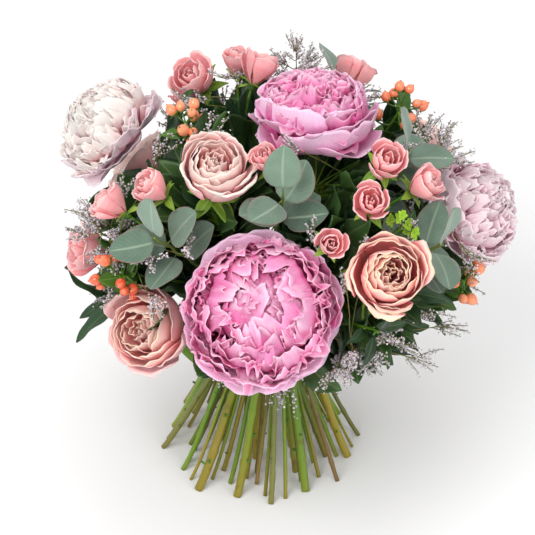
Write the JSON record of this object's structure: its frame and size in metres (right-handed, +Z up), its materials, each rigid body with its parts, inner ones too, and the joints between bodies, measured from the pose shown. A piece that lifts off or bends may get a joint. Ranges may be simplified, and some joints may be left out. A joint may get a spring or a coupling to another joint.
{
  "type": "hand-tied bouquet of peonies",
  "caption": "Domed hand-tied spiral bouquet of pink peonies, coral roses, berries and eucalyptus, standing on its splayed, level-cut stem ends.",
  "frame": {"origin": "on the floor, under the middle of the bouquet's bounding box", "axes": "+Z up along the axis of the spiral, -Y towards the front of the bouquet, where the large front peony is, +X to the right seen from the front"},
  "size_m": [0.4206, 0.4182, 0.4092],
  "materials": {
    "peony_pink": "matte, satin-soft ruffled petals, orchid pink with magenta folds",
    "peony_pale": "matte, soft blush-white petals with pink folds",
    "rose_cream": "velvet-matte petals, peach-coral inside and cream outside",
    "rose_blush": "velvet-matte blush petals, dusty pink outside",
    "spray_coral": "velvet-matte coral petals with green sepals",
    "berry": "glossy peach to orange-red berries on green sepals and stems",
    "eucalyptus": "powdery matte silver-green leaves",
    "limonium": "tiny papery white-lavender florets on olive twigs",
    "foliage": "semi-glossy dark green leaves with veins",
    "bupleurum": "matte lime-green bracts",
    "stem": "semi-matte green to olive stems with darker nodes and pale cut ends",
    "tape": "matte crinkled natural binding tape"
  },
  "bodies": {
    "root": {"binding_tape": "tape", "peony_front_guard_petals": "peony_pink", "peony_front_inner_petals": "peony_pink", "peony_front_stem": "stem", "peony_top_guard_petals": "peony_pink", "peony_top_inner_petals": "peony_pink", "peony_top_stem": "stem", "peony_left_guard_petals": "peony_pale", "peony_left_inner_petals": "peony_pale", "peony_left_stem": "stem", "peony_right_guard_petals": "peony_pale", "peony_right_inner_petals": "peony_pale", "peony_right_stem": "stem", "peony_back_guard_petals": "peony_pink", "peony_back_inner_petals": "peony_pink", "peony_back_stem": "stem", "rose_left_bloom": "rose_cream", "rose_left_stem": "stem", "rose_centre_bloom": "rose_blush", "rose_centre_stem": "stem", "rose_right_bloom": "rose_cream", "rose_right_stem": "stem", "rose_back_left_bloom": "rose_blush", "rose_back_left_stem": "stem", "rose_back_right_bloom": "rose_cream", "rose_back_right_stem": "stem", "spray_rose_top_stem": "stem", "spray_rose_top_1": "spray_coral", "spray_rose_top_2": "spray_coral", "spray_rose_top_3": "spray_coral", "spray_rose_left_stem": "stem", "spray_rose_left_1": "spray_coral", "spray_rose_left_2": "spray_coral", "spray_rose_left_3": "spray_coral", "spray_rose_right_stem": "stem", "spray_rose_right_1": "spray_coral", "spray_rose_right_2": "spray_coral", "spray_rose_right_3": "spray_coral", "spray_rose_right_4": "spray_coral", "spray_rose_right_5": "spray_coral", "spray_rose_back_stem": "stem", "spray_rose_back_1": "spray_coral", "spray_rose_back_2": "spray_coral", "hypericum_top_left": "berry", "hypericum_top_right": "berry", "hypericum_left": "berry", "hypericum_right": "berry", "eucalyptus_centre": "eucalyptus", "eucalyptus_left": "eucalyptus", "eucalyptus_right": "eucalyptus", "eucalyptus_top_right": "eucalyptus", "eucalyptus_back": "eucalyptus", "limonium_left": "limonium", "limonium_top": "limonium", "limonium_right": "limonium", "limonium_front": "limonium", "limonium_back": "limonium", "foliage_left": "foliage", "foliage_right": "foliage", "bupleurum_tip": "bupleurum"}
  },
  "joints": []
}
